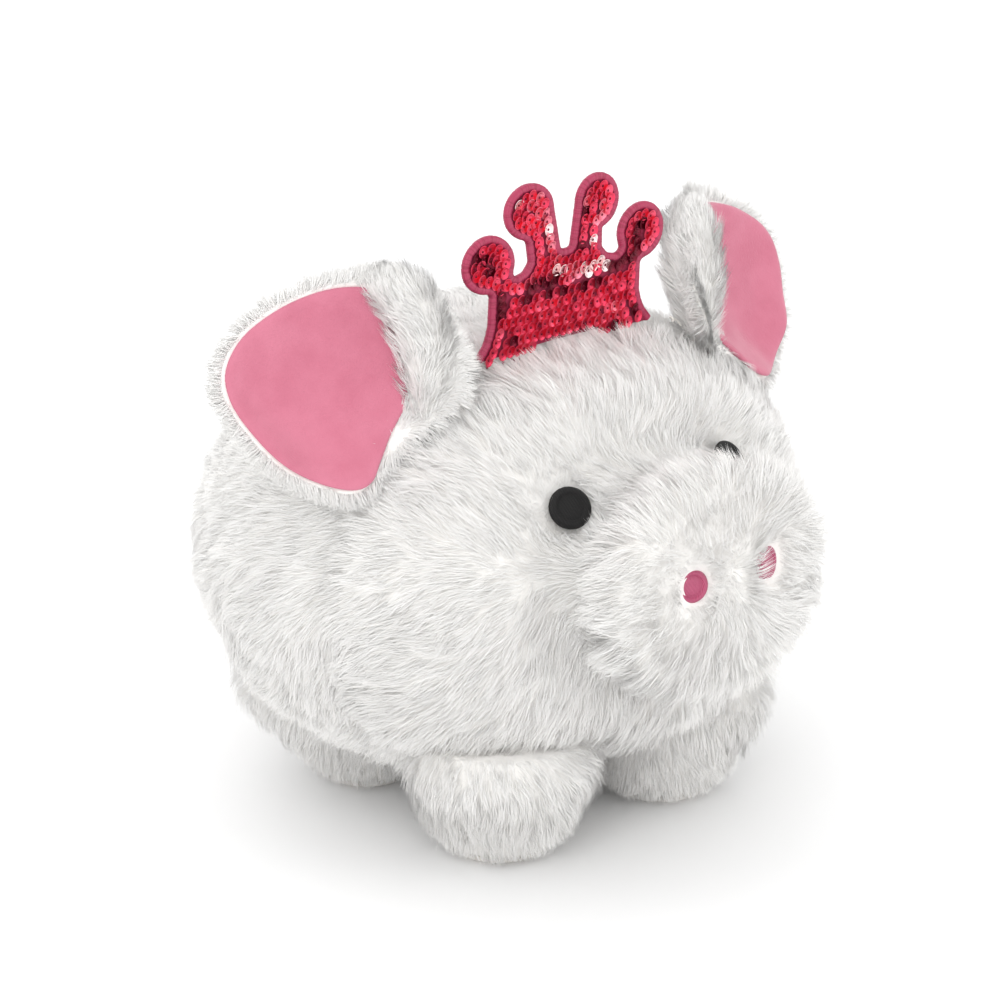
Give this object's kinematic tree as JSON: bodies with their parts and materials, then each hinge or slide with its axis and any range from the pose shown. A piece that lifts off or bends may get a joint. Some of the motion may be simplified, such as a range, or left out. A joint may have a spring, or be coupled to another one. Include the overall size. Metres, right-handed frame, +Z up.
{
  "type": "plush pig with a crown",
  "caption": "Round plush pig of long white faux fur on stub feet, with velour-lined ears, a puffed snout and a sequinned cloth crown sewn to its head.",
  "frame": {"origin": "on the floor, under the middle of the bounding box, between the four feet", "axes": "+Z up, the snout faces -Y, +X is the pig's own left side"},
  "size_m": [0.2414, 0.2302, 0.2088],
  "materials": {
    "plush": "long-pile faux fur, ivory white",
    "pink_velour": "short-pile velour",
    "sequins": "metallic cupped sequins in rows",
    "satin_border": "dense satin stitch",
    "crown_felt": "felt",
    "black_thread": "embroidery thread",
    "pink_thread": "embroidery thread",
    "sole_plush": "short-pile plush",
    "seam_thread": "sewing thread",
    "filling": "polyester fibre",
    "label_satin": "woven satin tape, blank"
  },
  "bodies": {
    "body": {"face_panel": "plush", "back_panel_left": "plush", "back_panel_right": "plush", "belly_panel": "plush", "body_stuffing": "filling", "snout_band": "plush", "snout_front": "plush", "snout_stuffing": "filling", "eye_left": "black_thread", "eye_right": "black_thread", "nostril_left": "pink_thread", "nostril_right": "pink_thread", "ear_left_seam": "seam_thread", "ear_right_seam": "seam_thread", "crown_seam": "seam_thread", "foot_front_left": "plush", "foot_front_right": "plush", "foot_rear_left": "plush", "foot_rear_right": "plush", "sole_front_left": "sole_plush", "sole_front_right": "sole_plush", "sole_rear_left": "sole_plush", "sole_rear_right": "sole_plush", "foot_stuffing_front_left": "filling", "foot_stuffing_front_right": "filling", "foot_stuffing_rear_left": "filling", "foot_stuffing_rear_right": "filling", "tail_seam": "seam_thread", "care_label": "label_satin"},
    "ear_left": {"ear_left_back": "plush", "ear_left_lining": "pink_velour"},
    "ear_right": {"ear_right_back": "plush", "ear_right_lining": "pink_velour"},
    "crown": {"crown_front": "sequins", "crown_back": "crown_felt", "crown_core": "filling", "crown_border": "satin_border", "crown_hem": "crown_felt"},
    "tail": {"tail": "pink_velour"}
  },
  "joints": [
    {"name": "ear_right_flop", "type": "hinge", "parent": "body", "child": "ear_right", "pos_m": [-0.0668, -0.02855, 0.1442], "axis": [0.846, -0.1001, 0.5236], "range_deg": [-18, 45], "stiffness_Nm_per_rad": 0.05},
    {"name": "ear_left_flop", "type": "hinge", "parent": "body", "child": "ear_left", "pos_m": [0.0668, -0.02855, 0.1442], "axis": [0.846, 0.1001, -0.5236], "range_deg": [-18, 45], "stiffness_Nm_per_rad": 0.05},
    {"name": "crown_tilt", "type": "hinge", "parent": "body", "child": "crown", "pos_m": [0, -0.03015, 0.163], "axis": [1, 0, 0], "range_deg": [-25, 25], "stiffness_Nm_per_rad": 0.04},
    {"name": "tail_bend", "type": "hinge", "parent": "body", "child": "tail", "pos_m": [0, 0.09635, 0.095], "axis": [1, 0, 0], "range_deg": [-30, 30], "stiffness_Nm_per_rad": 0.02}
  ]
}
